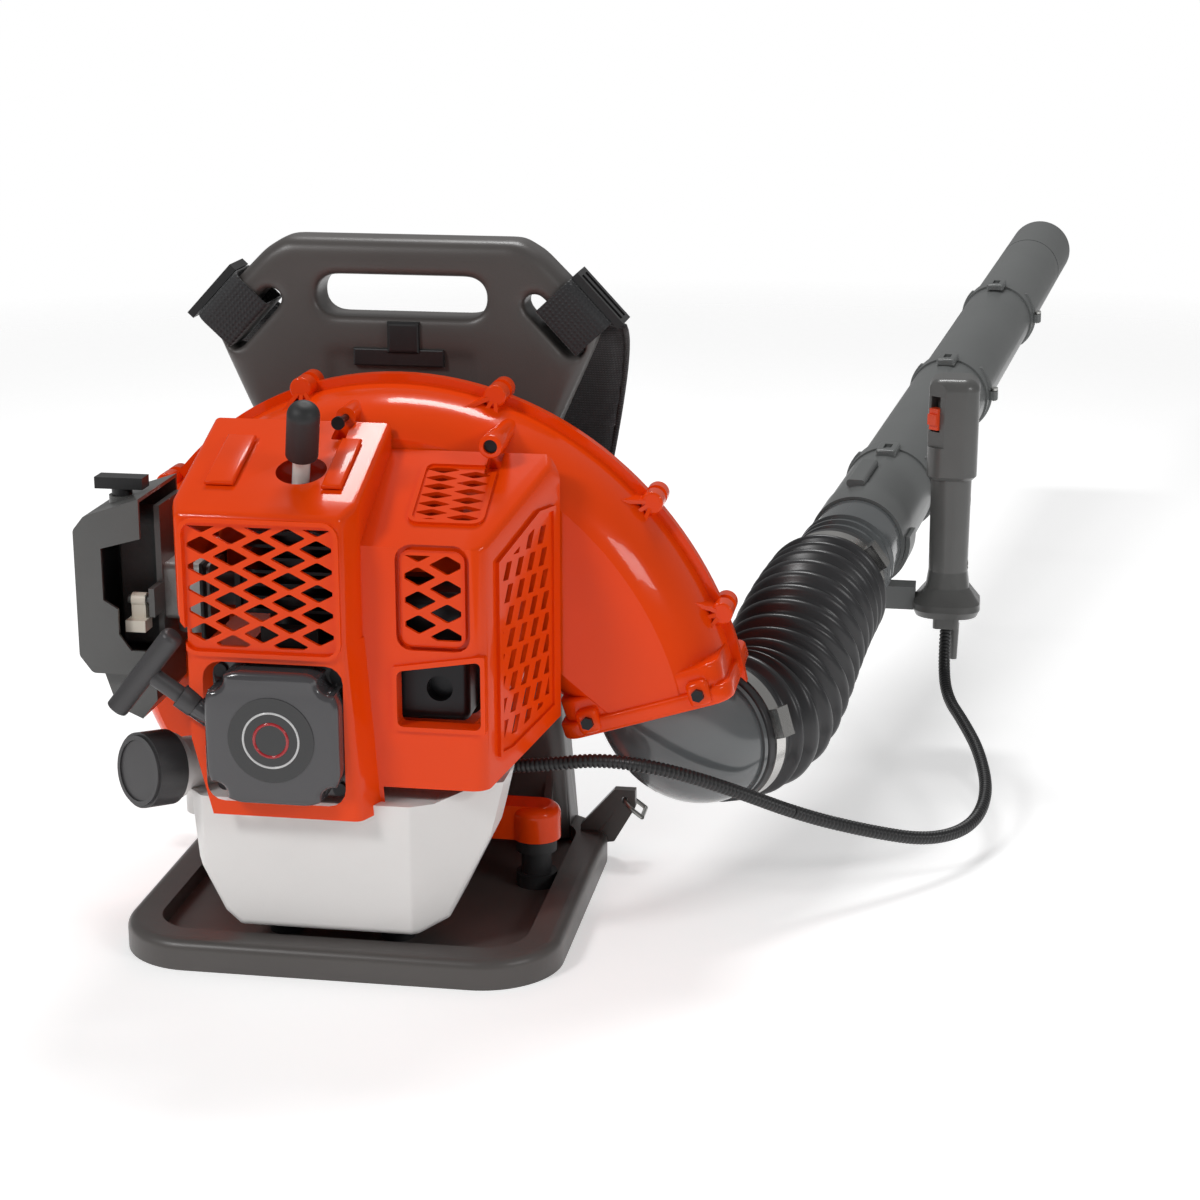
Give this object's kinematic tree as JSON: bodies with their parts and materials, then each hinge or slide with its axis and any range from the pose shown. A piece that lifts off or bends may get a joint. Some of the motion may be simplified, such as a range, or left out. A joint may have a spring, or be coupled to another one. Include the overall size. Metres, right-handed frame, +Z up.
{
  "type": "backpack leaf blower",
  "caption": "Petrol backpack leaf blower: engine and fan in a moulded case on a carrying frame with shoulder straps, a bellows hose and a long blow tube with a control grip.",
  "frame": {"origin": "on the ground under the middle of the base tray", "axes": "+Z up, +Y from the engine towards the wearer's back and along the blow tube, +X towards the blow tube's side"},
  "size_m": [0.7095, 1.5886, 0.469],
  "materials": {
    "orange": "gloss",
    "frame_grey": "satin",
    "dark_grey": "satin",
    "pipe_grey": "satin",
    "black_rubber": "matt",
    "bellows_black": "satin",
    "black_fabric": "matt",
    "white_tank": "translucent satin",
    "cast_alloy": "cast",
    "steel": "brushed",
    "zinc": "plated",
    "black_steel": "satin",
    "ceramic": "gloss",
    "cream": "satin",
    "switch_orange": "satin",
    "black_plastic": "satin",
    "foam": "matt",
    "impeller_black": "satin"
  },
  "bodies": {
    "machine": {"frame": "frame_grey", "back_pad": "black_fabric", "shoulder_pads": "black_fabric", "strap_webs": "black_fabric", "strap_buckles": "black_plastic", "fan_case_front": "orange", "fan_case_rear": "orange", "fan_case_screws": "black_steel", "intake_guard": "black_plastic", "rubber_mounts": "black_rubber", "crankcase_front": "cast_alloy", "crankcase_rear": "cast_alloy", "main_bearings": "steel", "cylinder": "cast_alloy", "piston": "cast_alloy", "connecting_rod": "steel", "crank_throw": "steel", "starter_case": "dark_grey", "recoil_spring": "steel", "starter_rope": "black_fabric", "spark_plug": "ceramic", "spark_plug_cap": "black_rubber", "ignition_coil": "black_plastic", "muffler": "black_steel", "intake_manifold": "black_rubber", "carburettor": "cast_alloy", "air_cleaner_cover": "dark_grey", "air_cleaner_base": "dark_grey", "air_filter": "foam", "engine_cover": "orange", "cover_screws": "black_steel", "fuel_tank": "white_tank", "elbow": "dark_grey", "hose_clamp_lower": "steel", "throttle_conduit": "black_plastic"},
    "rotor": {"impeller": "impeller_black", "flywheel": "cast_alloy", "crankshaft": "steel", "starter_cup": "zinc"},
    "reel": {"starter_reel": "black_plastic"},
    "pull_grip": {"starter_handle": "dark_grey"},
    "choke": {"choke_lever": "cream"},
    "tank_cap": {"fuel_cap": "dark_grey"},
    "cleaner_latch": {"air_cleaner_knob": "black_plastic"},
    "ring_left": {"strap_ring_left": "zinc"},
    "ring_right": {"strap_ring_right": "zinc"},
    "hose": {"bellows": "bellows_black"},
    "hose_end": {"hose_clamp_upper": "steel", "swivel_pipe": "dark_grey"},
    "blow_tube": {"lower_pipe": "pipe_grey", "handle_pipe": "pipe_grey", "middle_pipe": "pipe_grey", "nozzle": "pipe_grey", "pipe_screws": "zinc", "handle_bracket": "pipe_grey", "grip_left": "dark_grey", "grip_right": "dark_grey", "grip_screws": "zinc"},
    "trigger": {"trigger": "black_plastic"},
    "switch": {"stop_switch": "switch_orange"}
  },
  "joints": [
    {"name": "rotor_spin", "type": "hinge", "parent": "machine", "child": "rotor", "pos_m": [-0.031, 0, 0.168], "axis": [0, 1, 0], "continuous": true},
    {"name": "starter_pull", "type": "slide", "parent": "machine", "child": "pull_grip", "axis": [-0.78, -0.14, 0.61], "range_m": [0, 0.7], "stiffness_N_per_m": 12, "springref_m": -0.5},
    {"name": "reel_turn", "type": "hinge", "parent": "machine", "child": "reel", "pos_m": [-0.031, 0, 0.168], "axis": [0, 1, 0], "range_deg": [0, 1450]},
    {"name": "choke_turn", "type": "hinge", "parent": "machine", "child": "choke", "pos_m": [-0.139, -0.098, 0.246], "axis": [1, 0, 0], "range_deg": [0, 25]},
    {"name": "cap_turn", "type": "hinge", "parent": "machine", "child": "tank_cap", "pos_m": [-0.132, -0.14, 0.137], "axis": [-0.5893, -0.799, 0.1199], "continuous": true},
    {"name": "latch_turn", "type": "hinge", "parent": "machine", "child": "cleaner_latch", "pos_m": [-0.153, -0.084, 0.316], "axis": [0, 0, 1], "continuous": true},
    {"name": "ring_left_swing", "type": "hinge", "parent": "machine", "child": "ring_left", "pos_m": [-0.167, 0.1, 0.047], "axis": [0, 1, 0], "range_deg": [0, 80]},
    {"name": "ring_right_swing", "type": "hinge", "parent": "machine", "child": "ring_right", "pos_m": [0.167, 0.1, 0.047], "axis": [0, -1, 0], "range_deg": [0, 80]},
    {"name": "hose_sweep", "type": "hinge", "parent": "machine", "child": "hose", "pos_m": [0.282, 0.165, 0.135], "axis": [0, 0, 1], "range_deg": [-20, 20], "deforming": ["bellows", "throttle_conduit"]},
    {"name": "hose_lift", "type": "hinge", "parent": "hose", "child": "hose_end", "pos_m": [0.29, 0.215, 0.147], "axis": [0.9883, -0.1523, 0], "range_deg": [-8, 20], "deforming": ["bellows", "throttle_conduit"]},
    {"name": "tube_twist", "type": "hinge", "parent": "hose_end", "child": "blow_tube", "pos_m": [0.3263, 0.4447, 0.182], "axis": [0.1513, 0.9821, 0.112], "range_deg": [-30, 30], "deforming": ["throttle_conduit"]},
    {"name": "trigger_pull", "type": "hinge", "parent": "blow_tube", "child": "trigger", "pos_m": [0.398, 0.427, 0.262], "axis": [-1, 0, 0], "range_deg": [0, 12], "stiffness_Nm_per_rad": 0.4, "springref_deg": -17.19},
    {"name": "switch_slide", "type": "slide", "parent": "blow_tube", "child": "switch", "axis": [0, 0, 1], "range_m": [0, 0.007]}
  ],
  "couplings": [
    {"joint": "reel_turn", "follows": "starter_pull", "rad_per_m": 36.036}
  ]
}
